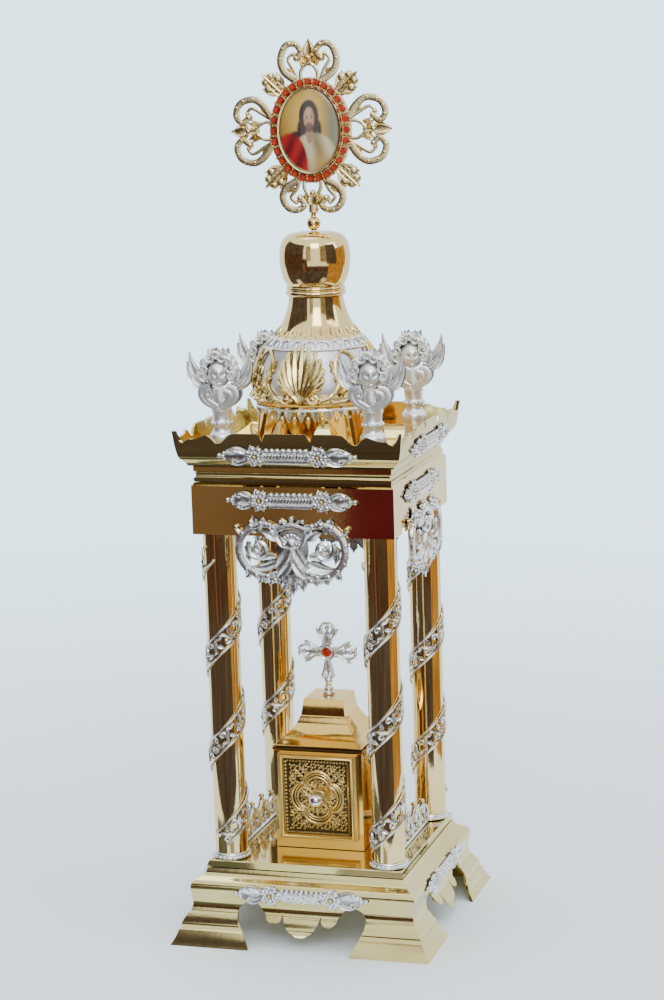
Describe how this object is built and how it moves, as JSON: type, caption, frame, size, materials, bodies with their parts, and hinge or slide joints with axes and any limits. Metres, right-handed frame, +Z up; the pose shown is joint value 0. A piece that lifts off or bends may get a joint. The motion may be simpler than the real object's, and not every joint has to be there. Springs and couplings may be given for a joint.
{
  "type": "altar tabernacle",
  "caption": "Gilt and silvered altar tabernacle: footed stand, banded columns, domed canopy with cherubs and medallion, and a casket with a pull-out drawer and cross.",
  "frame": {"origin": "middle of the stand's square floor outline, on the floor", "axes": "+Z up, -Y the front with the drawer, +X to the right seen from the front"},
  "size_m": [0.1312, 0.1312, 0.4368],
  "materials": {
    "pale_brass": "polished sheet with a pale champagne plating",
    "gilt_brass": "polished, gold plated",
    "silver": "cast, silver plated, bright with darker hollows",
    "red_stone": "faceted red glass",
    "enamel_picture": "glossy domed picture tablet"
  },
  "bodies": {
    "tabernacle": {"stand": "pale_brass", "deck_plate": "pale_brass", "entablature": "pale_brass", "cornice": "pale_brass", "base_garland_front": "silver", "base_garland_right": "silver", "base_garland_back": "silver", "base_garland_left": "silver", "column_front_left": "gilt_brass", "column_front_right": "gilt_brass", "column_back_right": "gilt_brass", "column_back_left": "gilt_brass", "column_collar_front_left": "silver", "column_collar_front_right": "silver", "column_collar_back_right": "silver", "column_collar_back_left": "silver", "spiral_band_front_left": "silver", "spiral_band_front_right": "silver", "spiral_band_back_right": "silver", "spiral_band_back_left": "silver", "gallery_left": "gilt_brass", "gallery_right": "gilt_brass", "frieze_ornament_front": "silver", "frieze_ornament_right": "silver", "frieze_ornament_back": "silver", "frieze_ornament_left": "silver", "pendant_front": "silver", "pendant_right": "silver", "pendant_back": "silver", "pendant_left": "silver", "cornice_ornament_front": "silver", "cornice_ornament_right": "silver", "cornice_ornament_back": "silver", "cornice_ornament_left": "silver", "cherub_front_left": "silver", "cherub_front_right": "silver", "cherub_back_right": "silver", "cherub_back_left": "silver", "dome_skirt": "gilt_brass", "dome": "gilt_brass", "bulb": "gilt_brass", "finial_ball": "gilt_brass", "medallion_frame": "gilt_brass", "medallion_stones": "red_stone", "medallion_picture": "enamel_picture", "casket_body": "gilt_brass", "casket_roof": "gilt_brass", "cross": "silver", "cross_stone": "red_stone"},
    "drawer": {"drawer": "gilt_brass", "drawer_knob": "silver"}
  },
  "joints": [
    {"name": "drawer_slide", "type": "slide", "parent": "tabernacle", "child": "drawer", "axis": [0, -1, 0], "range_m": [0, 0.034]}
  ]
}
